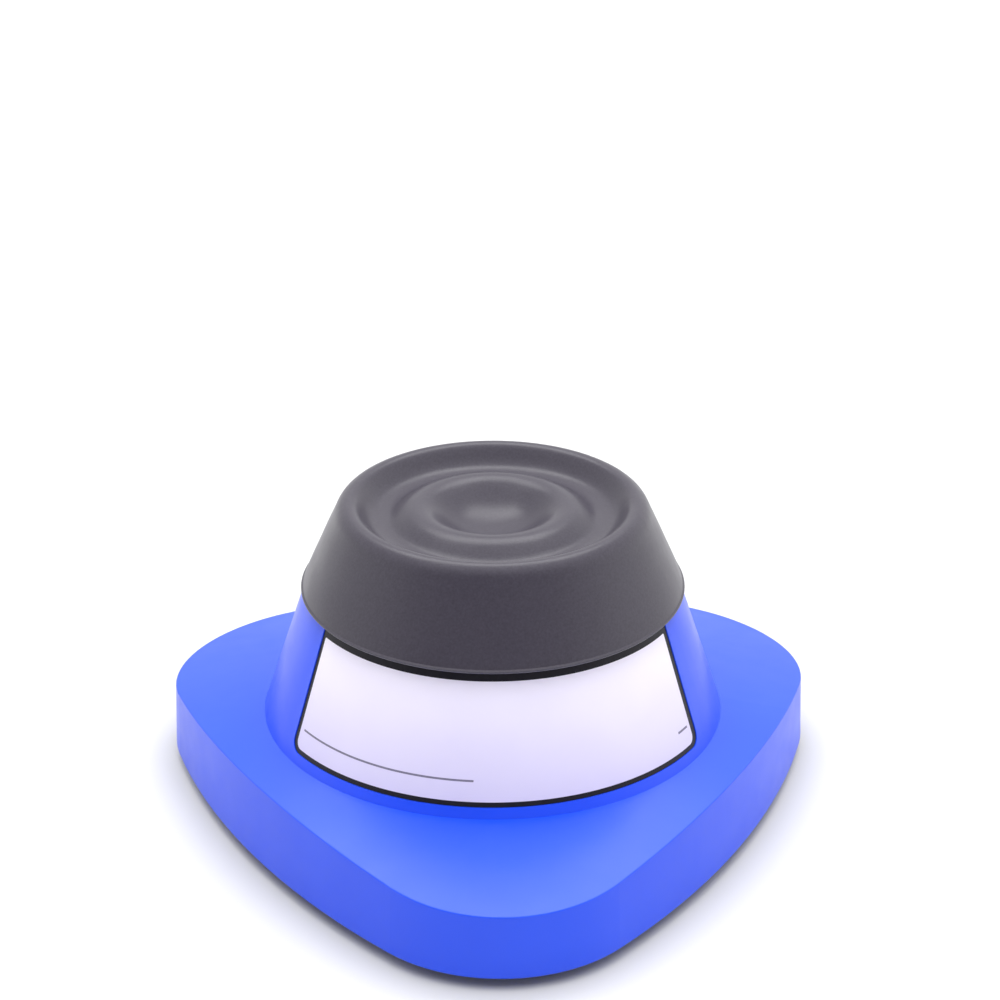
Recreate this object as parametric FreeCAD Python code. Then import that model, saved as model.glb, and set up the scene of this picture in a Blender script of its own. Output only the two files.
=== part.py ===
import FreeCAD, Part
import os
import math
from FreeCAD import Vector as V

os.makedirs("parts", exist_ok=True)

# ---------------------------------------------------------------------------
# Touch-operated vortex mixer.  All lengths in millimetres.
# The pieces are drawn about the cone's axis (x = y = 0) with z = 0 at the
# bottom edge of the housing, and are then moved so that the origin lies at
# the bottom centre of the whole object, on the surface that it stands on.
# +Z is up, the label faces -Y, the power socket faces +Y.
# ---------------------------------------------------------------------------

# housing
FOOT_H = 3.0            # housing edge above the table
TRI_D = 49.6            # axis to the centre of each corner arc
TRI_R = 35.8            # corner arc radius
TRI_RS = 208.7          # side arc radius
DRAFT = 2.0             # side draft, degrees
WALL = 2.5              # moulded wall
R_CREASE = 55.0         # cone's foot radius
H_CREASE = 22.25        # cone's foot height
BRIM_SLOPE = 0.22       # brim falls this much per mm outwards
CONE_K = 0.3292         # cone closes in this much per mm upwards
SHOULDER_Z = 53.9       # flat top of the housing cone
NECK_RI, NECK_RO = 29.0, 31.2   # splash collar round the opening
NECK_Z = 57.5
EDGE_FILLET = 0.3
# label
LABEL_HALF = 61.5       # half angle, degrees
LABEL_MID = -0.5        # middle of the label, degrees round from the front
LABEL_Z0, LABEL_Z1 = 24.9, 54.0
LABEL_DEPTH = 0.5
LABEL_CORNER = 3.0
# base
PLATE_Z0, PLATE_Z1 = 0.6, 3.1
PLATE_OFF = 2.95        # plate edge inside the housing's outline
BALLAST_Z1 = 7.1
BALLAST_OFF = 17.0
BOSS_RAD, BOSS_R = 74.0, 3.6
FOOT_RAD, FOOT_R = 56.0, 9.4
# sprung carrier and its posts
POST_RAD, POST_R = 36.0, 2.5
CARRIER_Z0, CARRIER_Z1 = 43.8, 46.8
SEAT_Z = 33.8           # lower spring seat
SPRING_R, SPRING_WIRE, SPRING_TURNS = 3.6, 0.9, 5
PRESS = 0.8             # travel of the cup when pressed
# drive
ORBIT = 2.0             # crank offset: the orbit is 4 mm across
MOTOR_R, MOTOR_L = 12.2, 30.8
SHAFT_R = 1.15
STAY_RAD, STAY_R, SOCKET_R = 24.0, 2.0, 4.35
BRG_Z0, BRG_Z1 = 56.0, 63.0     # 8 x 22 x 7 ball bearing
BRG_RI, BRG_RO, BRG_PITCH, BALL_R = 4.0, 11.0, 7.5, 1.984
# cup
CUP_Z0 = 55.1
HUB_TOP = 67.5
# power socket, for a 5.5 x 2.1 plug
JACK_Z = 11.0
JACK_FACE_Y = 65.0

CORNERS = (-90.0, 30.0, 150.0)
SIDES = (90.0, 210.0, 330.0)


# ---------------------------------------------------------------------------
# small helpers
# ---------------------------------------------------------------------------
def u(deg, r=1.0, z=0.0):
    a = math.radians(deg)
    return V(r * math.cos(a), r * math.sin(a), z)


def cyl(r, z0, z1, x=0.0, y=0.0):
    return Part.makeCylinder(r, z1 - z0, V(x, y, z0))


def box(x0, x1, y0, y1, z0, z1):
    return Part.makeBox(x1 - x0, y1 - y0, z1 - z0, V(x0, y0, z0))


def rev(pts, x=0.0, y=0.0, start=0.0, angle=360.0):
    """Closed (r, z) polygon turned about an upright axis at (x, y)."""
    vs = [V(r, 0, z) for r, z in pts]
    f = Part.Face(Part.makePolygon(vs + [vs[0]]))
    s = f.revolve(V(0, 0, 0), V(0, 0, 1), angle)
    if s.Volume < 0:
        s.reverse()
    if start:
        s.rotate(V(0, 0, 0), V(0, 0, 1), start)
    s.translate(V(x, y, 0))
    return s


def rev_edges(edges):
    """Closed chain of edges in the x-z plane turned about z."""
    w = Part.Wire(Part.__sortEdges__(edges))
    f = Part.Face(w)
    s = f.revolve(V(0, 0, 0), V(0, 0, 1), 360)
    if s.ShapeType != "Solid":
        s = Part.Solid(s) if s.ShapeType == "Shell" else s.Solids[0]
    if s.Volume < 0:
        s.reverse()
    return s


def line(a, b):
    return Part.LineSegment(V(a[0], 0, a[1]), V(b[0], 0, b[1])).toShape()


def arc3(a, m, b):
    return Part.Arc(V(a[0], 0, a[1]), V(m[0], 0, m[1]), V(b[0], 0, b[1])).toShape()


def fuse(*shapes):
    s = shapes[0]
    for t in shapes[1:]:
        s = s.fuse(t)
    return s.removeSplitter()


def screw(shank_r, length, head_r, head_h):
    """Pan-head screw: head above z = 0, shank below, with a cross recess."""
    c = 0.3 * head_h
    head = rev([(0, 0), (head_r, 0), (head_r, head_h - c), (head_r - c, head_h), (0, head_h)])
    shank = rev([(0, -length), (shank_r * 0.7, -length), (shank_r, -length + shank_r * 0.5), (shank_r, 0), (0, 0)])
    s = head.fuse(shank).removeSplitter()
    w, d = head_r * 0.62, head_h * 0.55
    t = head_r * 0.13
    s = s.cut(box(-w, w, -t, t, head_h - d, head_h + 1))
    return s.cut(box(-t, t, -w, w, head_h - d, head_h + 1))


def at(shape, pos, flip=False):
    s = shape.copy()
    if flip:
        s.rotate(V(0, 0, 0), V(1, 0, 0), 180)
    s.translate(pos)
    return s


def outline(off, z):
    """Rounded triangle: three corner arcs joined by three large tangent arcs."""
    rr = TRI_RS - TRI_R
    c = (-TRI_D + math.sqrt(4 * rr * rr - 3 * TRI_D * TRI_D)) / 2
    C = [u(a, TRI_D) for a in CORNERS]
    M = [a + 60.0 for a in CORNERS]
    S = [u(m, -c) for m in M]
    r, rs = TRI_R - off, TRI_RS - off

    def tangent(i, j):
        d = (C[i] - S[j])
        d.normalize()
        return C[i] + d * r

    edges = []
    for i in range(3):
        edges.append(Part.Arc(tangent(i, (i - 1) % 3), C[i] + u(CORNERS[i], r), tangent(i, i)).toShape())
        edges.append(Part.Arc(tangent(i, i), S[i] + u(M[i], rs), tangent((i + 1) % 3, i)).toShape())
    w = Part.Wire(edges)
    w.translate(V(0, 0, z))
    return w


def prism(off, z0, z1, draft=0.0):
    t = math.tan(math.radians(draft))
    if not draft:
        return Part.Face(outline(off, z0)).extrude(V(0, 0, z1 - z0))
    return Part.makeLoft([outline(off + z0 * t, z0), outline(off + z1 * t, z1)], True, True)


def side_extent():
    rr = TRI_RS - TRI_R
    return TRI_RS - (-TRI_D + math.sqrt(4 * rr * rr - 3 * TRI_D * TRI_D)) / 2


AXIS_Y = (TRI_D + TRI_R - side_extent()) / 2      # cone axis behind the box's centre
SHIFT = V(0, AXIS_Y, FOOT_H)
CUP_AX = V(0, -ORBIT, 0)                          # cup and crank pin axis at rest
MADE = []


def emit(name, shapes):
    if not isinstance(shapes, (list, tuple)):
        shapes = [shapes]
    out = []
    for s in shapes:
        sols = s.Solids
        assert len(sols) >= 1, name
        for q in sols:
            q = q.copy()
            q.translate(SHIFT)
            out.append(q)
    shape = out[0] if len(out) == 1 else Part.makeCompound(out)
    ok = all(q.isValid() and q.isClosed() for q in out)
    print("%-20s solids %d valid %s volume %.1f" % (name, len(out), ok, sum(q.Volume for q in out)))
    shape.exportStep("parts/%s.step" % name)
    MADE.append((name, out))


def cone_r(z):
    return R_CREASE - CONE_K * (z - H_CREASE)


# ---------------------------------------------------------------------------
# housing shell: drafted rounded triangle under a shallow conical brim, with
# the steep cone on top
# ---------------------------------------------------------------------------
def shoulder_arc(rad):
    """Rounded outer corner of the shoulder."""
    p = (cone_r(SHOULDER_Z), SHOULDER_Z)
    a_cone = -math.pi / 2 + math.atan(CONE_K)     # direction down the cone
    a_in = math.pi                                # direction in along the shoulder
    da, di = (math.cos(a_cone), math.sin(a_cone)), (math.cos(a_in), math.sin(a_in))
    dot = da[0] * di[0] + da[1] * di[1]
    half = math.acos(dot) / 2
    t, d = rad / math.tan(half), rad / math.sin(half)
    b = (da[0] + di[0], da[1] + di[1])
    n = math.hypot(*b)
    b = (b[0] / n, b[1] / n)
    return ((p[0] + t * da[0], p[1] + t * da[1]),
            (p[0] + (d - rad) * b[0], p[1] + (d - rad) * b[1]),
            (p[0] + t * di[0], p[1] + t * di[1]))


def brim_z(r):
    return H_CREASE - BRIM_SLOPE * (r - R_CREASE)


crease = (R_CREASE, H_CREASE)
sa, sm, sb = shoulder_arc(0.6)
hat = rev_edges([
    line((0, -0.0), (100, -0.0)), line((100, 0), (100, brim_z(100))), line((100, brim_z(100)), crease),
    line(crease, sa), arc3(sa, sm, sb), line(sb, (0, SHOULDER_Z)), line((0, SHOULDER_Z), (0, 0))])
outer = prism(0.0, 0.0, 60.0, DRAFT).common(hat).Solids[0]


def is_top_edge(e):
    ps = [e.valueAt(e.FirstParameter + (e.LastParameter - e.FirstParameter) * k / 4.0) for k in range(5)]
    return all(math.hypot(p.x, p.y) > 60 and abs(p.z - brim_z(math.hypot(p.x, p.y))) < 0.05 for p in ps)


def is_low_edge(e):
    ps = [e.valueAt(e.FirstParameter + (e.LastParameter - e.FirstParameter) * k / 4.0) for k in range(5)]
    return all(abs(p.z) < 1e-4 and math.hypot(p.x, p.y) > 60 for p in ps)


for name, pick, rad in (("top edge", is_top_edge, EDGE_FILLET), ("low edge", is_low_edge, 0.5)):
    try:
        es = [e for e in outer.Edges if pick(e)]
        f = outer.makeFillet(rad, es)
        if f.isValid() and f.Volume > 0.9 * outer.Volume:
            outer = f.Solids[0]
            print(name, "rounded,", len(es), "edges")
        else:
            print(name, "left sharp")
    except Exception as err:
        print(name, "left sharp:", err)

n_c, n_b = math.sqrt(1 + CONE_K ** 2), math.sqrt(1 + BRIM_SLOPE ** 2)
CEIL_Z = SHOULDER_Z - WALL
uu = (WALL * n_b * CONE_K - WALL * n_c) / (1 - CONE_K * BRIM_SLOPE)
ww = -BRIM_SLOPE * uu - WALL * n_b
in_corner = (R_CREASE + uu, H_CREASE + ww)
cavity = rev([(0, -1), (100, -1), (100, brim_z(100) - WALL * n_b), in_corner,
              (cone_r(CEIL_Z) - WALL * n_c, CEIL_Z), (0, CEIL_Z)])
cavity = prism(WALL, -1.0, 60.0, DRAFT).common(cavity)

bosses = [cyl(BOSS_R, PLATE_Z1, 30, *(u(a, BOSS_RAD)[:2])) for a in CORNERS]
bosses = [b.common(outer) for b in bosses]
pad = Part.makeCylinder(7.5, 3.0, V(0, JACK_FACE_Y - 3.5, JACK_Z), V(0, 1, 0)).common(outer)

shell = outer.cut(cavity)
shell = shell.cut(cyl(NECK_RI, CEIL_Z - 1, SHOULDER_Z + 1))
shell = shell.fuse([rev([(NECK_RI, CEIL_Z), (NECK_RO, CEIL_Z), (NECK_RO, NECK_Z - 0.5), (NECK_RO - 0.5, NECK_Z),
                         (NECK_RI + 0.5, NECK_Z), (NECK_RI, NECK_Z - 0.5)])] + bosses + [pad])
shell = shell.removeSplitter()
for a in CORNERS:
    p = u(a, BOSS_RAD)
    shell = shell.cut(cyl(1.5, PLATE_Z1 - 1, 13.5, p.x, p.y))
# socket hole with a flat seat outside
shell = shell.cut(Part.makeCylinder(4.1, 20, V(0, 55, JACK_Z), V(0, 1, 0)))
shell = shell.cut(Part.makeCylinder(6.5, 10, V(0, JACK_FACE_Y, JACK_Z), V(0, 1, 0)))


# label and the shallow pocket that it lies in, open at the cone's top
def cone_strip(z0, z1, t0, t1, half, corner):
    al = math.atan(CONE_K)
    ca, sa_ = math.cos(al), math.sin(al)
    pt = lambda z, t: (cone_r(z) + t * ca, z + t * sa_)
    s = rev([pt(z0, t0), pt(z0, t1), pt(z1, t1), pt(z1, t0)], start=-90 + LABEL_MID - half, angle=2 * half)
    es = []
    for e in s.Edges:
        a, b = e.Vertexes[0].Point, e.Vertexes[-1].Point
        if abs(e.Length - (t1 - t0)) < 1e-3 and max(a.z, b.z) < (z0 + z1) / 2:
            es.append(e)
    return s.makeFillet(corner, es)


pocket = cone_strip(LABEL_Z0 - 0.1, LABEL_Z1 + 3.0, -LABEL_DEPTH, 2.0, LABEL_HALF + 0.12, LABEL_CORNER + 0.1)
shell = shell.cut(pocket)
label = cone_strip(LABEL_Z0, LABEL_Z1, -LABEL_DEPTH, -0.04, LABEL_HALF, LABEL_CORNER)
emit("housing_shell", shell.removeSplitter().Solids[0])
emit("front_label", label)

# ---------------------------------------------------------------------------
# base plate, ballast, screws and feet
# ---------------------------------------------------------------------------
BSCREWS = [u(a, 40.0) for a in (0.0, 120.0, 240.0)]
BRACKET_HOLES = [V(-34, -4, 0), V(-34, 4, 0)]
plate = prism(PLATE_OFF, PLATE_Z0, PLATE_Z1)
for a in CORNERS:
    p = u(a, BOSS_RAD)
    plate = plate.cut(cyl(1.6, PLATE_Z0 - 1, PLATE_Z1 + 1, p.x, p.y)).cut(cyl(3.3, PLATE_Z0 - 1, 1.8, p.x, p.y))
    p = u(a, FOOT_RAD)
    plate = plate.cut(cyl(2.5, PLATE_Z0 - 1, PLATE_Z1 + 1, p.x, p.y))
for p in BSCREWS:
    plate = plate.cut(cyl(1.5, 1.1, PLATE_Z1 + 1, p.x, p.y))
emit("base_plate", plate)

ballast = prism(BALLAST_OFF, PLATE_Z1, BALLAST_Z1)
for a in CORNERS:
    p = u(a, FOOT_RAD)
    ballast = ballast.cut(cyl(5.0, PLATE_Z1 - 1, BALLAST_Z1 + 1, p.x, p.y))
for p in BSCREWS:
    ballast = ballast.cut(cyl(1.6, PLATE_Z1 - 1, BALLAST_Z1 + 1, p.x, p.y))
for p in BRACKET_HOLES:
    ballast = ballast.cut(cyl(1.5, PLATE_Z1 - 1, BALLAST_Z1 + 1, p.x, p.y))
for a in SIDES:
    p = u(a, POST_RAD)
    ballast = ballast.cut(cyl(1.5, PLATE_Z1 - 1, BALLAST_Z1 + 1, p.x, p.y))
emit("ballast_plate", ballast)
emit("ballast_screws", [at(screw(1.5, 5.8, 2.75, 1.8), V(p.x, p.y, BALLAST_Z1)) for p in BSCREWS])
emit("housing_screws", [at(screw(1.5, 10.5, 2.9, 1.6), u(a, BOSS_RAD, 1.8), flip=True) for a in CORNERS])

foot = [(0, 6.2), (1.7, 6.2), (3.4, 4.3), (3.4, 3.55), (2.5, 3.15), (2.5, 0.6), (5.6, 0.6), (6.0, -0.3),
        (6.9, -1.0), (8.4, -1.9), (FOOT_R, -2.8), (FOOT_R, -3.0), (8.0, -3.0), (6.4, -2.2), (4.0, -1.5), (0, -1.2)]
emit("suction_feet", [rev(foot, *(u(a, FOOT_RAD)[:2])) for a in CORNERS])

# ---------------------------------------------------------------------------
# posts, springs and the sliding carrier
# ---------------------------------------------------------------------------
POST_TOP = CARRIER_Z1 + 0.05
posts, washers, pscrews, springs = [], [], [], []
pts = [(0, 4.1), (1.3, 4.1), (1.5, 4.4), (1.5, BALLAST_Z1), (3.0, BALLAST_Z1), (3.0, SEAT_Z - 1.5), (4.6, SEAT_Z - 1.5),
       (4.6, SEAT_Z), (POST_R, SEAT_Z), (POST_R, POST_TOP), (1.25, POST_TOP), (1.25, POST_TOP - 9), (0, POST_TOP - 9)]
pitch = (CARRIER_Z0 - SEAT_Z - SPRING_WIRE) / SPRING_TURNS
for a in SIDES:
    p = u(a, POST_RAD)
    posts.append(rev(pts, p.x, p.y))
    washers.append(rev([(1.6, POST_TOP), (4.4, POST_TOP), (4.4, POST_TOP + 0.8), (1.6, POST_TOP + 0.8)], p.x, p.y))
    pscrews.append(at(screw(1.25, 8.8, 2.75, 1.8), V(p.x, p.y, POST_TOP + 0.8)))
    helix = Part.makeHelix(pitch, CARRIER_Z0 - SEAT_Z - SPRING_WIRE - 0.06, SPRING_R)
    ring = Part.Wire([Part.Circle(V(SPRING_R, 0, 0), V(0, 1, 0), SPRING_WIRE / 2).toShape()])
    sp = Part.Wire(helix.Edges).makePipeShell([ring], True, True)
    sp.translate(V(p.x, p.y, SEAT_Z + SPRING_WIRE / 2 + 0.03))
    springs.append(sp)
emit("guide_posts", posts)
emit("post_washers", washers)
emit("post_screws", pscrews)
emit("support_springs", springs)

SW_X, SW_HINGE_Y, SW_STRIKE_Y, SW_PLUNGE_Y = -22.75, 8.0, -5.0, 3.0
carrier = cyl(27.5, CARRIER_Z0, CARRIER_Z1)
for a in SIDES:
    arm = box(0, POST_RAD, -5.5, 5.5, CARRIER_Z0, CARRIER_Z1)
    arm.rotate(V(0, 0, 0), V(0, 0, 1), a)
    p = u(a, POST_RAD)
    carrier = carrier.fuse([arm, cyl(5.5, CARRIER_Z0, CARRIER_Z1, p.x, p.y)])
for a in CORNERS:
    p = u(a, STAY_RAD)
    carrier = carrier.fuse(cyl(8.8, CARRIER_Z0, CARRIER_Z1, p.x, p.y))
carrier = carrier.fuse(cyl(1.2, 40.7, CARRIER_Z0 + 1, SW_X, SW_STRIKE_Y)).removeSplitter()
for a in SIDES:
    p = u(a, POST_RAD)
    carrier = carrier.cut(cyl(POST_R + 0.08, CARRIER_Z0 - 1, CARRIER_Z1 + 1, p.x, p.y))
for a in CORNERS:
    p = u(a, STAY_RAD)
    carrier = carrier.cut(cyl(6.4, CARRIER_Z0 - 1, CARRIER_Z1 + 1, p.x, p.y))
carrier = carrier.cut(cyl(3.3, CARRIER_Z0 - 1, CARRIER_Z1 + 1))
MSCREWS = (V(8, 0, 0), V(-8, 0, 0))
for p in MSCREWS:
    carrier = carrier.cut(cyl(1.25, CARRIER_Z0 - 1, CARRIER_Z1 + 1, p.x, p.y))
    carrier = carrier.cut(rev([(0, 45.4), (1.25, 45.4), (2.5, CARRIER_Z1), (2.5, CARRIER_Z1 + 1), (0, CARRIER_Z1 + 1)], p.x, p.y))
emit("motor_carrier", carrier)
g0, g1 = CARRIER_Z0, CARRIER_Z1
emit("stay_grommets", [rev([(SOCKET_R, g0 - 0.6), (7.4, g0 - 0.6), (7.4, g0), (6.4, g0), (6.4, g1), (7.4, g1),
                            (7.4, g1 + 0.6), (SOCKET_R, g1 + 0.6)], *(u(a, STAY_RAD)[:2])) for a in CORNERS])

# ---------------------------------------------------------------------------
# motor
# ---------------------------------------------------------------------------
M1 = CARRIER_Z0
M0 = M1 - MOTOR_L
can = rev([(11.2, M0), (MOTOR_R, M0), (MOTOR_R, M1 - 0.6), (MOTOR_R - 0.6, M1), (3.1, M1), (3.1, M1 + 1.4), (2.2, M1 + 1.4),
           (2.2, M1 - 1.0), (11.2, M1 - 1.0)])
for p in MSCREWS:
    can = can.cut(cyl(1.25, M1 - 2, M1 + 1, p.x, p.y))
emit("motor_can", can)
cap = rev([(2.2, M0), (11.15, M0), (11.15, M0 + 3), (2.2, M0 + 3)])
cap = cap.fuse([box(5, 8, -1.2, 1.2, M0 + 2, M0 + 8), box(-8, -5, -1.2, 1.2, M0 + 2, M0 + 8)]).removeSplitter()
for x in (-8.0, 8.0):
    cap = cap.cut(box(x - 0.25, x + 0.25, -1, 1, M0 - 1, M0 + 1.5))
emit("motor_end_cap", cap)
emit("motor_bushings", [rev([(1.2, M0), (2.2, M0), (2.2, M0 + 3), (1.2, M0 + 3)]),
                        rev([(1.2, M1 - 1), (2.2, M1 - 1), (2.2, M1 + 1.4), (1.2, M1 + 1.4)])])
emit("motor_magnets", [rev([(9.3, M0 + 7), (11.15, M0 + 7), (11.15, M0 + 27), (9.3, M0 + 27)], start=a - 62, angle=124) for a in (90, 270)])
emit("motor_brushes", [box(2.9, 5, -1.0, 1.0, M0 + 5.2, M0 + 7.4), box(-5, -2.9, -1.0, 1.0, M0 + 5.2, M0 + 7.4)])
emit("motor_terminals", [box(x - 0.25, x + 0.25, -1, 1, M0 - 3.4, M0 + 1.5) for x in (-8.0, 8.0)])
ms = rev([(0, 42.2), (0.9, 42.2), (1.25, 42.6), (1.25, 45.4), (2.5, CARRIER_Z1), (0, CARRIER_Z1)])
ms = ms.cut(box(-1.4, 1.4, -0.3, 0.3, CARRIER_Z1 - 0.8, CARRIER_Z1 + 1)).cut(box(-0.3, 0.3, -1.4, 1.4, CARRIER_Z1 - 0.8, CARRIER_Z1 + 1))
emit("motor_screws", [at(ms, p) for p in MSCREWS])

SHAFT_TOP = 54.8
emit("motor_shaft", rev([(0, M0 + 1), (0.9, M0 + 1), (SHAFT_R, M0 + 1.3), (SHAFT_R, SHAFT_TOP - 0.3), (0.9, SHAFT_TOP), (0, SHAFT_TOP)]))
A0, A1 = M0 + 10, M0 + 24
core = cyl(3.2, A0, A1)
coils = []
for k in range(3):
    arm = box(0, 8.0, -1.2, 1.2, A0, A1)
    shoe = rev([(7.2, A0), (8.8, A0), (8.8, A1), (7.2, A1)], start=-46, angle=92)
    coil = box(3.6, 6.3, -3.0, 3.0, A0 - 2.0, A1 + 2.0).cut(box(3, 7, -1.25, 1.25, A0 - 0.05, A1 + 0.05))
    for s in (arm, shoe, coil):
        s.rotate(V(0, 0, 0), V(0, 0, 1), 120 * k + 30)
    core = core.fuse([arm, shoe])
    coils.append(coil)
core = core.removeSplitter().cut(cyl(SHAFT_R, A0 - 1, A1 + 1))
emit("armature_core", core)
emit("armature_windings", coils)
com = rev([(SHAFT_R, M0 + 4.6), (2.8, M0 + 4.6), (2.8, M0 + 7.9), (SHAFT_R, M0 + 7.9)])
for k in range(3):
    s = box(2.1, 4, -0.2, 0.2, M0 + 4, M0 + 8)
    s.rotate(V(0, 0, 0), V(0, 0, 1), 120 * k + 90)
    com = com.cut(s)
emit("commutator", com)

# ---------------------------------------------------------------------------
# crank, counterweight and bearing
# ---------------------------------------------------------------------------
E0, E1 = 48.2, 54.2
cx, cy = CUP_AX.x, CUP_AX.y
hub = cyl(7.0, E0, E1).fuse([cyl(6.0, E1 - 0.5, BRG_Z0, cx, cy), cyl(BRG_RI, BRG_Z0 - 0.5, BRG_Z1 - 0.1, cx, cy)]).removeSplitter()
hub = hub.cut(cyl(SHAFT_R, E0 - 1, SHAFT_TOP + 0.2)).cut(cyl(1.25, 57.5, BRG_Z1 + 1, cx, cy))
grub_hole = Part.makeCylinder(1.5, 12.0, V(-12, 0, 51.1), V(1, 0, 0))
hub = hub.cut(grub_hole)
emit("eccentric_hub", hub)
cw = rev([(7.0, 48.6), (10.0, 48.6), (10.0, 53.6), (7.0, 53.6)]).fuse(
    rev([(9.0, 48.6), (17.5, 48.6), (17.5, 53.1), (17.0, 53.6), (9.0, 53.6)], start=10, angle=160)).removeSplitter()
cw = cw.cut(grub_hole)
emit("counterweight", cw)
grub = Part.makeCylinder(1.5, 8.4, V(-9.7, 0, 51.1), V(1, 0, 0))
hexa = Part.Face(Part.makePolygon([V(-10, 0.85 * math.cos(math.radians(60 * k)), 51.1 + 0.85 * math.sin(math.radians(60 * k))) for k in range(7)]))
grub = grub.cut(hexa.extrude(V(2.2, 0, 0)))
emit("grub_screw", grub)

zb = (BRG_Z0 + BRG_Z1) / 2
groove = Part.makeTorus(BRG_PITCH, BALL_R + 0.07, V(cx, cy, zb))
c = 0.3
inner = rev([(BRG_RI, BRG_Z0), (6.05, BRG_Z0), (6.05, BRG_Z1), (BRG_RI, BRG_Z1)], cx, cy).cut(groove)
outer_ring = rev([(9.3, BRG_Z0), (BRG_RO - c, BRG_Z0), (BRG_RO, BRG_Z0 + c), (BRG_RO, BRG_Z1 - c), (BRG_RO - c, BRG_Z1), (9.3, BRG_Z1)], cx, cy).cut(groove)
emit("bearing_inner_ring", inner)
emit("bearing_outer_ring", outer_ring)
balls, cage = [], rev([(7.1, zb - 2.6), (7.9, zb - 2.6), (7.9, zb + 2.6), (7.1, zb + 2.6)], cx, cy)
for k in range(7):
    q = u(360.0 / 7 * k + 90)
    p = V(cx + BRG_PITCH * q.x, cy + BRG_PITCH * q.y, zb)
    balls.append(Part.makeSphere(BALL_R, p))
    cage = cage.cut(Part.makeCylinder(BALL_R + 0.1, 4.0, V(cx, cy, zb) + q * 6.0, q))
emit("bearing_balls", balls)
emit("bearing_cage", cage)
emit("bearing_washer", rev([(1.6, BRG_Z1), (5.4, BRG_Z1), (5.4, BRG_Z1 + 0.6), (1.6, BRG_Z1 + 0.6)], cx, cy))
emit("bearing_screw", at(screw(1.25, 5.8, 2.75, 1.8), V(cx, cy, BRG_Z1 + 0.6)))

# ---------------------------------------------------------------------------
# cup: rigid hub with stay pins, under a thick rubber top
# ---------------------------------------------------------------------------
FL0, FL1, FL_R = 59.3, 62.8, 37.0
cup_hub = rev([(BRG_RO, 55.6), (14.5, 55.6), (14.5, FL0), (FL_R, FL0), (FL_R, FL1), (30.0, HUB_TOP), (0, HUB_TOP), (0, 65.9),
               (9.6, 65.9), (9.6, BRG_Z1), (BRG_RO, BRG_Z1)], cx, cy)
pins = []
for a in CORNERS:
    p = u(a, STAY_RAD) + CUP_AX
    cup_hub = cup_hub.cut(cyl(STAY_R, FL0 - 1, 62.3, p.x, p.y))
    pins.append(rev([(0, 44.0), (STAY_R - 0.5, 44.0), (STAY_R, 44.5), (STAY_R, 62.3), (0, 62.3)], p.x, p.y))
emit("cup_hub", cup_hub)
emit("stay_pins", pins)

CUP_PROFILE = [(44.88, CUP_Z0 + 0.85), (43.25, 60.0), (41.05, 65.0), (38.85, 70.0), (37.4, 73.2), (36.45, 75.2), (35.2, 76.5), (33.6, 77.0),
               (32.3, 76.6), (31.25, 75.6), (30.3, 74.5), (29.3, 73.5), (28.2, 72.8), (26.8, 72.45), (25.3, 72.4), (24.0, 72.65),
               (22.8, 73.3), (21.5, 74.2), (20.2, 75.0), (18.7, 75.55), (17.2, 75.7), (15.6, 75.4), (13.8, 74.45), (12.0, 73.1),
               (10.0, 71.7), (7.0, 70.3), (3.5, 69.5), (0.0, 69.3)]
curve = Part.BSplineCurve()
curve.interpolate(Points=[V(r, 0, z) for r, z in CUP_PROFILE], InitialTangent=V(-0.36, 0, 1), FinalTangent=V(-1, 0, 0))
inside = [CUP_PROFILE[-1], (0, HUB_TOP), (30.0, HUB_TOP), (FL_R, FL1), (FL_R, FL0), (34.5, FL0), (34.5, 57.8), (40.0, 57.8),
          (41.2, CUP_Z0), (45.1, CUP_Z0), (45.3, CUP_Z0 + 0.25), (45.3, CUP_Z0 + 0.55), CUP_PROFILE[0]]     # small bead at the lower edge
edges = [curve.toShape()] + [line(inside[i], inside[i + 1]) for i in range(len(inside) - 1)]
cup = rev_edges(edges)
cup.translate(CUP_AX)
emit("rubber_cup", cup)

# ---------------------------------------------------------------------------
# switch, its bracket and the lever that the carrier's striker pushes
# ---------------------------------------------------------------------------
S0, S1 = 28.6, 38.6
SX0, SX1 = SW_X - 3.25, SW_X + 3.25
PIVOT_Z = 40.1
SWS = [(-4.75, 31.8), (4.75, 31.8)]
body = box(SX0, SX1, -10, 10, S0, S1)
body = body.fuse([box(SX0, SX0 + 1.0, 7.0, 9.0, S1 - 0.5, 41.0), box(SX1 - 1.0, SX1, 7.0, 9.0, S1 - 0.5, 41.0),
                  Part.makeCylinder(0.4, 6.1, V(SX0 + 0.2, SW_HINGE_Y, PIVOT_Z), V(1, 0, 0))]).removeSplitter()
body = body.cut(cyl(1.1, 36.0, S1 + 1, SW_X, SW_PLUNGE_Y))
for y, z in SWS:
    body = body.cut(Part.makeCylinder(1.0, 10, V(SX0 - 1, y, z), V(1, 0, 0)))
emit("switch_body", body)
emit("switch_plunger", rev([(0, 36.6), (1.0, 36.6), (1.0, 39.9), (0.75, 40.15), (0, 40.15)], SW_X, SW_PLUNGE_Y))
lever = box(SW_X - 1.8, SW_X + 1.8, -8.5, SW_HINGE_Y, 40.25, 40.55)
lever = lever.fuse(Part.makeCylinder(0.8, 3.6, V(SW_X - 1.8, SW_HINGE_Y, PIVOT_Z), V(1, 0, 0))).removeSplitter()
lever = lever.cut(Part.makeCylinder(0.45, 5, V(SW_X - 2.5, SW_HINGE_Y, PIVOT_Z), V(1, 0, 0)))
emit("switch_lever", lever)
emit("switch_terminals", [box(SW_X - 0.25, SW_X + 0.25, y - 1.5, y + 1.5, 25.0, S0) for y in (-7.5, 0.0, 7.5)])
br = box(SX0 - 1.5, SX0, -9, 9, BALLAST_Z1, 37.0).fuse(box(-40, SX0, -8, 8, BALLAST_Z1, BALLAST_Z1 + 1.5)).removeSplitter()
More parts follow.
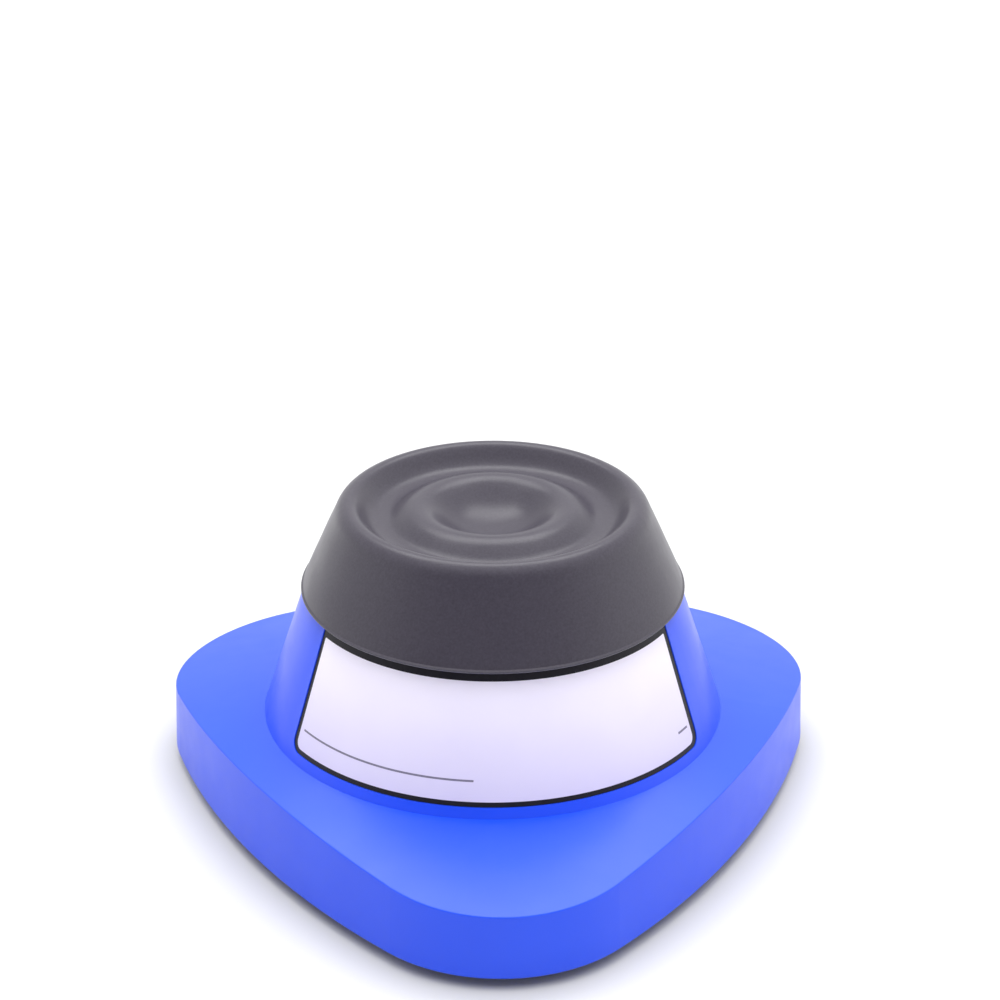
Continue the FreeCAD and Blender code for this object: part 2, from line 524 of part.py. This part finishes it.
for y, z in SWS:
    br = br.cut(Part.makeCylinder(1.0, 6, V(SX0 - 3, y, z), V(1, 0, 0)))
for p in BRACKET_HOLES:
    br = br.cut(cyl(1.6, BALLAST_Z1 - 1, BALLAST_Z1 + 3, p.x, p.y))
emit("switch_bracket", br)
sws = []
for y, z in SWS:
    s = screw(1.0, 8.0, 1.9, 1.3)
    s.rotate(V(0, 0, 0), V(0, 1, 0), 90)
    s.translate(V(SX1, y, z))
    sws.append(s)
emit("switch_screws", sws)
emit("bracket_screws", [at(screw(1.5, 4.4, 2.75, 1.8), V(p.x, p.y, BALLAST_Z1 + 1.5)) for p in BRACKET_HOLES])

# ---------------------------------------------------------------------------
# power socket in the back wall
# ---------------------------------------------------------------------------
def turn_y(pts):
    """(r, y) polygon turned about the socket's axis."""
    s = rev([(r, y) for r, y in pts])
    s.rotate(V(0, 0, 0), V(1, 0, 0), -90)
    s.translate(V(0, 0, JACK_Z))
    return s


YF = JACK_FACE_Y
jack = turn_y([(0, 51.5), (4.0, 51.5), (4.0, YF), (5.8, YF), (5.8, YF + 0.5), (5.5, YF + 0.8), (3.2, YF + 0.8), (2.85, YF + 0.5), (2.85, 56.0),
               (1.05, 56.0), (1.05, 54.0), (0, 54.0)])
emit("dc_jack", jack)
emit("jack_pin", turn_y([(0, 54.0), (1.05, 54.0), (1.05, YF - 0.9), (0.7, YF - 0.4), (0, YF - 0.4)]))
nut = Part.Face(Part.makePolygon([V(5.8 * math.cos(math.radians(60 * k)), 0, 5.8 * math.sin(math.radians(60 * k))) for k in range(7)]))
nut = nut.extrude(V(0, 2.2, 0))
if nut.Volume < 0:
    nut.reverse()
nut.translate(V(0, YF - 3.5 - 2.2, JACK_Z))
nut = nut.cut(Part.makeCylinder(4.0, 10, V(0, 55, JACK_Z), V(0, 1, 0)))
emit("jack_nut", nut)
emit("jack_terminals", [box(-3.0, -2.6, 47.0, 51.5, 9.5, 12.5), box(2.6, 3.0, 47.0, 51.5, 9.5, 12.5)])


# ---------------------------------------------------------------------------
# wires held inside the housing: straight runs joined by tangent arcs
# ---------------------------------------------------------------------------
def tube(name, pts, r):
    P = [V(*p) for p in pts]
    edges, cur = [], P[0]
    radii, length = [], 0.0
    for i in range(1, len(P) - 1):
        a, b = P[i - 1] - P[i], P[i + 1] - P[i]
        la, lb = a.Length, b.Length
        a.normalize()
        b.normalize()
        half = math.acos(max(-1, min(1, a.dot(b)))) / 2          # half the inside angle
        t = 0.45 * min(la, lb)
        rad = t * math.tan(half)
        p0, p1 = P[i] + a * t, P[i] + b * t
        bis = a + b
        bis.normalize()
        mid = P[i] + bis * (rad / math.sin(half) - rad)
        edges.append(Part.LineSegment(cur, p0).toShape())
        edges.append(Part.Arc(p0, mid, p1).toShape())
        radii.append(rad)
        cur = p1
    edges.append(Part.LineSegment(cur, P[-1]).toShape())
    w = Part.Wire(edges)
    ring = Part.Wire([Part.Circle(P[0], P[1] - P[0], r).toShape()])
    s = w.makePipeShell([ring], True, False)
    if s.Volume < 0:
        s.reverse()
    print(name, "bend radii", ["%.1f" % q for q in radii], "length %.1f" % w.Length, "volume ratio %.3f" % (s.Volume / (math.pi * r * r * w.Length)))
    emit(name, s)


WIRE_R = 0.8
TZ = M0 - 2.2
tube("lead_jack_switch", [(-2.8, 47.0, 11.0), (-2.8, 41.5, 11.0), (-15.0, 33.5, 12.0), (-22.0, 21.0, 12.6), (-22.75, 7.5, 15.0), (-22.75, 7.5, 25.0)], WIRE_R)
tube("lead_switch_motor", [(SW_X, 0.0, 25.0), (SW_X, 0.0, 15.0), (-17.5, 0.0, TZ), (-8.25, 0.0, TZ)], WIRE_R)
tube("lead_jack_motor", [(2.8, 47.0, 11.0), (2.8, 41.5, 11.0), (14.5, 34.5, 13.5), (21.5, 20.0, 14.5), (20.0, 6.0, 12.5), (15.5, 0.0, TZ), (8.25, 0.0, TZ)], WIRE_R)

allb = Part.makeCompound([s for _, ss in MADE for s in ss]).BoundBox
print("nodes", len(MADE), "box x %.2f %.2f y %.2f %.2f z %.2f %.2f" % (allb.XMin, allb.XMax, allb.YMin, allb.YMax, allb.ZMin, allb.ZMax))
print("axis y %.4f" % AXIS_Y)
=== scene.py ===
import math

import bmesh
import bpy
from mathutils import Matrix, Vector
from mathutils.geometry import delaunay_2d_cdt


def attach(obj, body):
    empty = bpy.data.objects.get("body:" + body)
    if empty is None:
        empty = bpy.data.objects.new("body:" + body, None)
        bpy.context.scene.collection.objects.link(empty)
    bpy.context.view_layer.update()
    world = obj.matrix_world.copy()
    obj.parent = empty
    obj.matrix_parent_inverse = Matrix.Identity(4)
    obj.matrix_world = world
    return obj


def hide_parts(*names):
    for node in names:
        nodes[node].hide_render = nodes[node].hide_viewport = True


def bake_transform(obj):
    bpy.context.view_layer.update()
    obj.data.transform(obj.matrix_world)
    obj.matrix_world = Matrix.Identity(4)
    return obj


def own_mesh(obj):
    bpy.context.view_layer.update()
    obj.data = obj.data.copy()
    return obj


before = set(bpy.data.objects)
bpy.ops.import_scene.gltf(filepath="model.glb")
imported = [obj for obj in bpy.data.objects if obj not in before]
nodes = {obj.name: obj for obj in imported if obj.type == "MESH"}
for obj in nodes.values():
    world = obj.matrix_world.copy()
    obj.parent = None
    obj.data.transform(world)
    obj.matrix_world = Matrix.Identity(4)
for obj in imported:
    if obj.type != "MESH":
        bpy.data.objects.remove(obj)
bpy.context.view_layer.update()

scene = bpy.context.scene

# lengths below are in millimetres about the cone's axis, with z = 0 at the
# housing's bottom edge; row() moves a point into the part's own frame in metres
AXIS_Y, FOOT_H = 9.6896, 3.0
R_CREASE, H_CREASE, CONE_K = 55.0, 22.25, 0.3292
LABEL_HALF, LABEL_MID, LABEL_Z0, LABEL_Z1 = 61.5, -0.5, 24.9, 54.0


def row(x, y, z):
    return Vector((x, y + AXIS_Y, z + FOOT_H)) * 0.001


# ---------------------------------------------------------------------------
# materials: every one is a node tree on object coordinates (metres)
# ---------------------------------------------------------------------------
class Look:
    def __init__(self, name):
        self.mat = bpy.data.materials.new(name)
        self.mat.use_nodes = True
        self.nt = self.mat.node_tree
        self.nt.nodes.clear()
        out = self.nt.nodes.new("ShaderNodeOutputMaterial")
        self.bsdf = self.nt.nodes.new("ShaderNodeBsdfPrincipled")
        self.nt.links.new(self.bsdf.outputs["BSDF"], out.inputs["Surface"])
        self.coord = self.nt.nodes.new("ShaderNodeTexCoord").outputs["Object"]
        self.height = None

    def link(self, a, b):
        self.nt.links.new(a, b)

    def set(self, **values):
        for k, v in values.items():
            self.bsdf.inputs[k.replace("_", " ")].default_value = v

    def stretch(self, sx, sy, sz):
        """Object coordinates with a scale of their own along each axis."""
        m = self.nt.nodes.new("ShaderNodeMapping")
        m.inputs["Scale"].default_value = (sx, sy, sz)
        self.link(self.coord, m.inputs["Vector"])
        return m.outputs["Vector"]

    def noise(self, size_mm, detail=2.0, rough=0.5, vec=None):
        n = self.nt.nodes.new("ShaderNodeTexNoise")
        n.noise_dimensions = "3D"
        n.inputs["Scale"].default_value = 1000.0 / size_mm
        n.inputs["Detail"].default_value = detail
        n.inputs["Roughness"].default_value = rough
        self.link(vec if vec is not None else self.coord, n.inputs["Vector"])
        return n.outputs["Fac"]

    def span(self, fac, lo, hi, a=0.3, b=0.7):
        m = self.nt.nodes.new("ShaderNodeMapRange")
        m.inputs["From Min"].default_value = a
        m.inputs["From Max"].default_value = b
        m.inputs["To Min"].default_value = lo
        m.inputs["To Max"].default_value = hi
        self.link(fac, m.inputs["Value"])
        return m.outputs["Result"]

    def colour(self, fac, stops):
        r = self.nt.nodes.new("ShaderNodeValToRGB")
        el = r.color_ramp.elements
        while len(el) < len(stops):
            el.new(0.5)
        for e, (pos, c) in zip(el, stops):
            e.position = pos
            e.color = (c[0], c[1], c[2], 1.0)
        self.link(fac, r.inputs["Fac"])
        self.link(r.outputs["Color"], self.bsdf.inputs["Base Color"])

    def roughness(self, fac, lo, hi):
        self.link(self.span(fac, lo, hi), self.bsdf.inputs["Roughness"])

    def bump(self, fac, depth_mm, strength=1.0):
        b = self.nt.nodes.new("ShaderNodeBump")
        b.inputs["Strength"].default_value = strength
        b.inputs["Distance"].default_value = depth_mm * 0.001
        self.link(fac, b.inputs["Height"])
        if self.height is not None:
            self.link(self.height, b.inputs["Normal"])
        self.height = b.outputs["Normal"]
        self.link(self.height, self.bsdf.inputs["Normal"])


def plastic(name, dark, light, patch_mm, rough, grain_mm, grain_depth, spec=0.5):
    k = Look(name)
    k.colour(k.noise(patch_mm, 3.0), [(0.35, dark), (0.65, light)])
    k.roughness(k.noise(patch_mm * 0.3, 3.0), *rough)
    k.bump(k.noise(grain_mm, 2.0, 0.6), grain_depth)
    k.bump(k.noise(grain_mm * 14.0, 2.0), grain_depth * 1.5)
    k.set(Specular_IOR_Level=spec)
    return k.mat


def metal(name, dark, light, rough, brush, grain_depth=0.002):
    k = Look(name)
    k.colour(k.noise(4.0, 4.0), [(0.3, dark), (0.7, light)])
    lines = k.noise(0.5, 2.0, 0.5, k.stretch(*brush))
    k.roughness(lines, *rough)
    k.bump(lines, grain_depth)
    k.set(Metallic=1.0)
    return k.mat


def make_housing_blue():
    k = Look("look_housing_blue")
    k.colour(k.noise(26.0, 3.0), [(0.3, (0.0055, 0.0640, 0.790)), (0.7, (0.0070, 0.0700, 0.820))])
    k.roughness(k.noise(9.0, 4.0), 0.28, 0.35)
    k.bump(k.noise(0.42, 2.0, 0.6), 0.0035)     # fine moulded satin
    k.bump(k.noise(16.0, 1.0), 0.006)           # slow waviness of a moulded wall
    return k.mat


def make_cup_rubber():
    k = Look("look_cup_rubber")
    k.colour(k.noise(0.55, 3.0, 0.65), [(0.30, (0.036, 0.031, 0.046)), (0.70, (0.052, 0.0465, 0.065))])
    k.roughness(k.noise(6.0, 4.0), 0.29, 0.35)
    k.bump(k.noise(0.45, 3.0, 0.6), 0.008)      # matt grain of the mould
    k.bump(k.noise(11.0, 2.0), 0.010)
    k.set(Specular_IOR_Level=0.5)
    return k.mat


def make_label_with_painted_shade():
    k = Look("look_label_white_painted_shade")
    # painted shade: the white is painted palest at the top under the cup and greyer towards the lower edge by height,
    # standing in for light that falls off down the label; a slow noise adds random tone
    sep = k.nt.nodes.new("ShaderNodeSeparateXYZ")
    k.link(k.coord, sep.inputs["Vector"])
    # painted shade mask: height on the label, dark at the lower edge and pale at the top
    low = k.span(sep.outputs["Z"], 0.10, 0.86, 0.001 * (LABEL_Z0 + FOOT_H), 0.001 * (LABEL_Z1 + FOOT_H))
    add = k.nt.nodes.new("ShaderNodeMath")
    add.operation = "MULTIPLY_ADD"
    add.inputs[1].default_value = 0.16
    k.link(k.noise(18.0, 2.0), add.inputs[0])
    k.link(low, add.inputs[2])
    k.colour(add.outputs["Value"], [(0.12, (0.625, 0.580, 0.770)), (0.5, (0.735, 0.690, 0.865)), (0.95, (0.905, 0.860, 0.985))])
    k.roughness(k.noise(7.0, 3.0), 0.30, 0.40)
    k.bump(k.noise(0.35, 2.0), 0.0025)
    return k.mat


def make_label_ink(name, dark, light):
    k = Look(name)
    k.colour(k.noise(0.8, 3.0), [(0.3, dark), (0.7, light)])
    k.roughness(k.noise(3.0, 3.0), 0.30, 0.42)
    k.bump(k.noise(0.35, 2.0), 0.0025)
    k.set(Specular_IOR_Level=0.25)
    return k.mat


looks = {
    "housing_blue": make_housing_blue(),
    "cup_rubber": make_cup_rubber(),
    "label_pale": make_label_with_painted_shade(),
    "base_plastic": plastic("look_base_plastic", (0.020, 0.021, 0.025), (0.030, 0.031, 0.036), 12.0, (0.45, 0.58), 0.6, 0.012),
    "foot_rubber": plastic("look_foot_rubber", (0.030, 0.030, 0.033), (0.045, 0.045, 0.049), 5.0, (0.42, 0.58), 0.4, 0.006),
    "grommet_rubber": plastic("look_grommet_rubber", (0.018, 0.018, 0.019), (0.030, 0.030, 0.032), 3.0, (0.60, 0.72), 0.3, 0.008),
    "ballast_iron": metal("look_ballast_iron", (0.20, 0.20, 0.21), (0.33, 0.33, 0.34), (0.42, 0.60), (1.0, 1.0, 1.0), 0.006),
    "screw_steel": metal("look_screw_steel", (0.46, 0.45, 0.43), (0.62, 0.61, 0.58), (0.24, 0.38), (1.0, 1.0, 4.0)),
    "ground_steel": metal("look_ground_steel", (0.55, 0.55, 0.56), (0.68, 0.68, 0.69), (0.14, 0.26), (0.4, 0.4, 5.0), 0.001),
    "zinc_steel": metal("look_zinc_steel", (0.50, 0.51, 0.53), (0.68, 0.69, 0.71), (0.25, 0.40), (1.0, 0.3, 1.0)),
    "plate_aluminium": metal("look_plate_aluminium", (0.66, 0.67, 0.68), (0.78, 0.79, 0.80), (0.28, 0.42), (0.15, 3.0, 1.0)),
    "nylon": plastic("look_nylon", (0.62, 0.60, 0.54), (0.72, 0.70, 0.64), 6.0, (0.38, 0.50), 0.4, 0.004),
    "switch_plastic": plastic("look_switch_plastic", (0.012, 0.012, 0.013), (0.022, 0.022, 0.024), 4.0, (0.34, 0.48), 0.35, 0.005),
    "magnet_ferrite": plastic("look_magnet_ferrite", (0.035, 0.036, 0.040), (0.065, 0.066, 0.072), 2.0, (0.50, 0.66), 0.3, 0.010),
    "copper_alloy": metal("look_copper_alloy", (0.62, 0.30, 0.16), (0.80, 0.44, 0.25), (0.22, 0.36), (1.0, 1.0, 3.0)),
    "wire_cover": plastic("look_wire_cover", (0.22, 0.010, 0.010), (0.30, 0.018, 0.016), 4.0, (0.32, 0.45), 0.5, 0.004),
}
ink = make_label_ink("look_label_border", (0.0070, 0.0060, 0.0110), (0.0110, 0.0095, 0.0160))
rule = make_label_ink("look_label_rule", (0.165, 0.150, 0.215), (0.200, 0.185, 0.255))

for o in nodes.values():
    for s in o.material_slots:
        s.material = looks[s.material.name.split(".")[0]]


# ---------------------------------------------------------------------------
# front label: a thin printed plate on the cone, drawn flat in (angle, height)
# and wrapped round; border, white field and rule lines are separate faces
# ---------------------------------------------------------------------------
N_C = math.sqrt(1.0 + CONE_K ** 2)
R0 = R_CREASE - CONE_K * (LABEL_Z0 - H_CREASE)      # radius at the label's lower edge
OUT_D, IN_D = -0.22, -0.47                          # faces below the cone's surface


def on_cone(p, q, depth):
    """Point at arc length p along the lower edge and slant height q above it."""
    z = LABEL_Z0 + q / N_C
    r = R_CREASE - CONE_K * (z - H_CREASE) + depth / N_C
    z += depth * CONE_K / N_C
    a = p / R0 + math.radians(LABEL_MID)
    return row(r * math.sin(a), -r * math.cos(a), z)


def rounded(p0, p1, q0, q1, r_low, r_top, step=0.8):
    """Closed loop, anticlockwise, with rounded corners and evenly cut sides."""
    pts = []

    def side(a, b):
        n = max(1, int(math.hypot(b[0] - a[0], b[1] - a[1]) / step))
        pts.extend([(a[0] + (b[0] - a[0]) * i / n, a[1] + (b[1] - a[1]) * i / n) for i in range(n)])

    def corner(cx, cy, r, a0):
        n = max(3, int(r * 6))
        for i in range(n):
            a = math.radians(a0 + 90.0 * i / n)
            pts.append((cx + r * math.cos(a), cy + r * math.sin(a)))

    side((p0 + r_low, q0), (p1 - r_low, q0))
    corner(p1 - r_low, q0 + r_low, r_low, -90)
    side((p1, q0 + r_low), (p1, q1 - r_top))
    corner(p1 - r_top, q1 - r_top, r_top, 0)
    side((p1 - r_top, q1), (p0 + r_top, q1))
    corner(p0 + r_top, q1 - r_top, r_top, 90)
    side((p0, q1 - r_top), (p0, q0 + r_low))
    corner(p0 + r_low, q0 + r_low, r_low, 180)
    return pts


def inside(pt, loop):
    x, y = pt
    hit = False
    for i in range(len(loop)):
        (x0, y0), (x1, y1) = loop[i - 1], loop[i]
        if (y0 > y) != (y1 > y) and x < (x1 - x0) * (y - y0) / (y1 - y0) + x0:
            hit = not hit
    return hit


def build_label():
    deg = math.radians(1.0) * R0
    P, Q = LABEL_HALF * deg, (LABEL_Z1 - LABEL_Z0) * N_C
    outer = rounded(-P, P, 0.0, Q, 3.0, 0.35)
    # the top border reaches from the field's top at 52.1 up to the label's top, wider than the other sides: its upper
    # part is painted shade, dark ink standing in for the shadow under the cup's edge
    left, right, low, top = 1.35 * deg, 1.85 * deg, 1.10, (LABEL_Z1 - 52.1) * N_C
    field = rounded(-P + left, P - right, low, Q - top, 2.0, 0.30)
    y_rule = (30.5 - LABEL_Z0) * N_C
    lines = [rounded((-59.0 - LABEL_MID) * deg, (-6.8 - LABEL_MID) * deg, y_rule - 0.24, y_rule + 0.24, 0.05, 0.05),
             rounded((53.4 - LABEL_MID) * deg, (57.8 - LABEL_MID) * deg, y_rule - 0.72, y_rule - 0.16, 0.05, 0.05)]
    verts, edges = [], []
    for loop in [outer, field] + lines:
        b = len(verts)
        verts += [Vector(p) for p in loop]
        edges += [(b + i, b + (i + 1) % len(loop)) for i in range(len(loop))]
    step = 1.6
    for i in range(-int(P / step), int(P / step) + 1):
        for j in range(1, int(Q / step) + 1):
            p = (i * step + (0.5 * step if j % 2 else 0.0), j * step)
            if inside(p, field) and abs(p[1] - y_rule) > 1.0 and min(p[1] - low, Q - top - p[1]) > 0.5 \
                    and P - max(left, right) - abs(p[0]) > 0.5:
                verts.append(Vector(p))
    flat, _, tris, _, _, _ = delaunay_2d_cdt(verts, edges, [], 0, 1e-5, False)
    tris = [tuple(t) for t in tris]
    kept, kinds = [], []
    for t in tris:
        c = (sum(flat[i].x for i in t) / 3.0, sum(flat[i].y for i in t) / 3.0)
        if not inside(c, outer):
            continue
        kind = 1
        if inside(c, field):
            kind = 2 if any(inside(c, l) for l in lines) else 0
        kept.append(t)
        kinds.append(kind)
    n = len(flat)
    co = [on_cone(p.x, p.y, OUT_D) for p in flat] + [on_cone(p.x, p.y, IN_D) for p in flat]
    faces = list(kept) + [(t[2] + n, t[1] + n, t[0] + n) for t in kept]
    mats = kinds + [1] * len(kept)
    m = len(outer)
    for i in range(m):
        a, b = i, (i + 1) % m
        faces.append((b, a, a + n, b + n))
        mats.append(1)
    me = bpy.data.meshes.new("label_plate")
    me.from_pydata(co, [], faces)
    me.validate()
    for mt in (looks["label_pale"], ink, rule):
        me.materials.append(mt)
    me.polygons.foreach_set("material_index", mats)
    me.polygons.foreach_set("use_smooth", [True] * len(faces))
    me.update()
    me.set_sharp_from_angle(angle=math.radians(30))
    ob = bpy.data.objects.new("label_plate", me)
    scene.collection.objects.link(ob)
    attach(ob, "housing")
    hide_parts("front_label")
    return ob


build_label()


# ---------------------------------------------------------------------------
# support springs: three wound wires, built at one fixed length on the housing
# ---------------------------------------------------------------------------
def build_springs(slot):
    seat, top, coil_r, wire_r, turns = 33.8, 43.8, 3.6, 0.45, 5
    pitch = (top - seat - 2 * wire_r) / turns
    z0, rise = seat + wire_r + 0.03, top - seat - 2 * wire_r - 0.06
    steps, sides = 150, 12
    co, faces = [], []
    for a in (90.0, 210.0, 330.0):
        cx, cy = 36.0 * math.cos(math.radians(a)), 36.0 * math.sin(math.radians(a))
        first = len(co)
        for i in range(steps + 1):
            h = rise * i / steps
            t = 2.0 * math.pi * h / pitch
            e_r = Vector((math.cos(t), math.sin(t), 0.0))
            along = Vector((-math.sin(t) * coil_r, math.cos(t) * coil_r, pitch / (2.0 * math.pi))).normalized()
            e_b = along.cross(e_r)
            mid = Vector((cx, cy, z0 + h)) + e_r * coil_r
            for k in range(sides):
                w = 2.0 * math.pi * k / sides
                q = mid + (e_r * math.cos(w) + e_b * math.sin(w)) * wire_r
                co.append(row(q.x, q.y, q.z))
        for i in range(steps):
            for k in range(sides):
                a0, a1 = first + i * sides + k, first + i * sides + (k + 1) % sides
                faces.append((a0, a0 + sides, a1 + sides, a1))
        faces.append(tuple(first + k for k in range(sides)))
        faces.append(tuple(first + steps * sides + k for k in reversed(range(sides))))
    me = bpy.data.meshes.new("coil_springs")
    me.from_pydata(co, [], faces)
    me.validate()
    bm = bmesh.new()
    bm.from_mesh(me)
    bmesh.ops.recalc_face_normals(bm, faces=bm.faces)
    bm.to_mesh(me)
    bm.free()
    me.materials.append(looks[slot])
    me.polygons.foreach_set("use_smooth", [True] * len(me.polygons))
    me.update()
    me.set_sharp_from_angle(angle=math.radians(50))
    ob = bpy.data.objects.new("coil_springs", me)
    scene.collection.objects.link(ob)
    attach(ob, "housing")
    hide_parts("support_springs")
    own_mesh(ob)
    return ob


build_springs("ground_steel")


# ---------------------------------------------------------------------------
# motor leads: each lead is copied whole from its node into a fixed mesh of its own
# ---------------------------------------------------------------------------
def build_lead(name, node):
    me = nodes[node].data.copy()
    me.name = name
    ob = bpy.data.objects.new(name, me)
    scene.collection.objects.link(ob)
    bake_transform(ob)
    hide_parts(node)
    return ob


build_lead("wire_switch_motor", "lead_switch_motor")
build_lead("wire_jack_motor", "lead_jack_motor")

# ---------------------------------------------------------------------------
# floor, light and camera
# ---------------------------------------------------------------------------
floor_mesh = bpy.data.meshes.new("floor")
S = 6.0
FLOOR_Z = -0.0001
floor_mesh.from_pydata([(-S, -S, FLOOR_Z), (S, -S, FLOOR_Z), (S, S, FLOOR_Z), (-S, S, FLOOR_Z)], [], [(0, 1, 2, 3)])
floor = bpy.data.objects.new("floor", floor_mesh)
scene.collection.objects.link(floor)
k = Look("look_floor")
k.colour(k.noise(300.0, 2.0), [(0.3, (0.595, 0.595, 0.598)), (0.7, (0.610, 0.610, 0.612))])
k.set(Roughness=0.9, Specular_IOR_Level=0.2)
floor_mesh.materials.append(k.mat)

# pale round backdrop, which takes no part in the lighting
ring = bpy.data.meshes.new("backdrop")
RING_N, RING_R, RING_H = 96, 2.0, 2.6
ring_co = [(RING_R * math.cos(2 * math.pi * i / RING_N), RING_R * math.sin(2 * math.pi * i / RING_N), z)
           for z in (FLOOR_Z - 0.01, RING_H) for i in range(RING_N)]
ring.from_pydata(ring_co, [], [((i + 1) % RING_N, i, i + RING_N, (i + 1) % RING_N + RING_N) for i in range(RING_N)])
ring.polygons.foreach_set("use_smooth", [True] * RING_N)
k = Look("look_backdrop")
k.colour(k.noise(400.0, 2.0), [(0.3, (0.80, 0.80, 0.80)), (0.7, (0.82, 0.82, 0.82))])
k.set(Roughness=0.9, Emission_Color=(1.0, 1.0, 1.0, 1.0), Emission_Strength=1.0)
ring.materials.append(k.mat)
backdrop = bpy.data.objects.new("backdrop", ring)
scene.collection.objects.link(backdrop)
backdrop.visible_diffuse = backdrop.visible_glossy = backdrop.visible_transmission = backdrop.visible_shadow = False

world = bpy.data.worlds.new("studio")
scene.world = world
world.use_nodes = True
wt = world.node_tree
wt.nodes.clear()
w_out = wt.nodes.new("ShaderNodeOutputWorld")
w_bg = wt.nodes.new("ShaderNodeBackground")
w_bg.inputs["Color"].default_value = (1.0, 1.0, 1.0, 1.0)
w_co = wt.nodes.new("ShaderNodeTexCoord")
w_sp = wt.nodes.new("ShaderNodeSeparateXYZ")
w_mr = wt.nodes.new("ShaderNodeMapRange")
w_mr.interpolation_type = "SMOOTHSTEP"
w_mr.inputs["From Min"].default_value = -1.0
w_mr.inputs["From Max"].default_value = 0.0
w_mr.inputs["To Min"].default_value = 0.14
w_mr.inputs["To Max"].default_value = 1.08
wt.links.new(w_co.outputs["Generated"], w_sp.inputs["Vector"])
wt.links.new(w_sp.outputs["Y"], w_mr.inputs["Value"])
w_sx = wt.nodes.new("ShaderNodeMapRange")
w_sx.inputs["From Min"].default_value = -1.0
w_sx.inputs["From Max"].default_value = 1.0
w_sx.inputs["To Min"].default_value = -0.17
w_sx.inputs["To Max"].default_value = 0.13
w_add = wt.nodes.new("ShaderNodeMath")
w_add.operation = "ADD"
wt.links.new(w_sp.outputs["X"], w_sx.inputs["Value"])
wt.links.new(w_mr.outputs["Result"], w_add.inputs[0])
wt.links.new(w_sx.outputs["Result"], w_add.inputs[1])
wt.links.new(w_add.outputs["Value"], w_bg.inputs["Strength"])
wt.links.new(w_bg.outputs["Background"], w_out.inputs["Surface"])


def softbox(name, where, aim, size, radiance, size_y=None):
    d = bpy.data.lights.new(name, "AREA")
    d.shape = "RECTANGLE"
    d.size = size
    d.size_y = size_y or size
    d.energy = radiance * math.pi * d.size * d.size_y
    o = bpy.data.objects.new(name, d)
    o.location = where
    o.rotation_euler = (Vector(aim) - Vector(where)).to_track_quat("-Z", "Y").to_euler()
    scene.collection.objects.link(o)
    return o


softbox("top_light", (0.0, -0.50, 3.6), (0.0, 0.0, 0.05), 4.2, 2.75).visible_glossy = False
softbox("back_light", (0.0, 1.65, 3.2), (0.0, 0.0, 0.05), 3.2, 3.0, 1.8)
softbox("front_fill", (0.0, -3.4, 0.9), (0.0, 0.0, 0.05), 3.2, 1.05, 1.4).visible_glossy = False

# camera: fitted to the photograph's view
D, E, Q1, Q2, YAW = 700.0, 0.50729, 0.434772, 0.002872, 0.035465
F_PX = 2881.0
eye = Vector((0.0, -D * math.cos(E), 20.0 + D * math.sin(E)))
fw = Vector((math.sin(Q2) * math.cos(Q1), math.cos(Q2) * math.cos(Q1), -math.sin(Q1)))
turn = Matrix.Rotation(-YAW, 3, "Z")
eye, fw = turn @ eye, turn @ fw
rt = fw.cross(Vector((0, 0, 1))).normalized()
up = rt.cross(fw).normalized()
cam_data = bpy.data.cameras.new("camera")
cam_data.sensor_fit = "HORIZONTAL"
cam_data.sensor_width = 36.0
cam_data.lens = F_PX / 1000.0 * 36.0
cam_data.clip_start = 0.01
cam_data.clip_end = 50.0
cam = bpy.data.objects.new("camera", cam_data)
cam.matrix_world = Matrix.Translation(row(*eye)) @ Matrix((rt, up, -fw)).transposed().to_4x4()
scene.collection.objects.link(cam)
scene.camera = cam

scene.view_settings.view_transform = "Standard"
scene.view_settings.look = "None"
scene.view_settings.exposure = 0.0
scene.view_settings.gamma = 1.0
